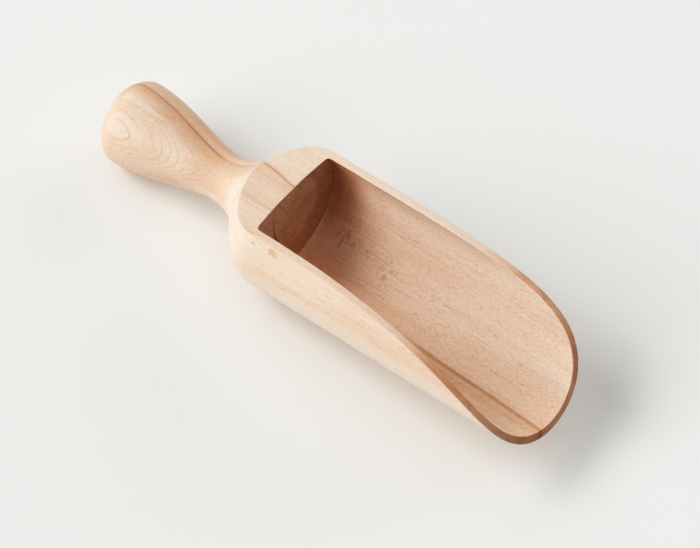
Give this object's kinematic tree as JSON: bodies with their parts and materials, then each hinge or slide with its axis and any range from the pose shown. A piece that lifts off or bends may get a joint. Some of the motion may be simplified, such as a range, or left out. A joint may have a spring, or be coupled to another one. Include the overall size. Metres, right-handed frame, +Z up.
{
  "type": "canister scoop",
  "caption": "Round wooden canister scoop: a bored bowl cut away to a sweeping open mouth, with a flat land behind it and a short turned, swelling handle, for lifting dry goods.",
  "frame": {"origin": "on the table, under the middle of the box of the scoop as it rests", "axes": "+X from the handle's butt towards the mouth, level; +Y to the scoop's left; +Z up, as the scoop rests on the back of its bowl and the butt of its handle"},
  "size_m": [0.1794, 0.05, 0.0426],
  "materials": {
    "bowl_wood": "bare sanded beech, pale cream to tan",
    "handle_wood": "bare sanded beech, tan"
  },
  "bodies": {
    "root": {"scoop_bowl": "bowl_wood", "turned_handle": "handle_wood"}
  },
  "joints": []
}
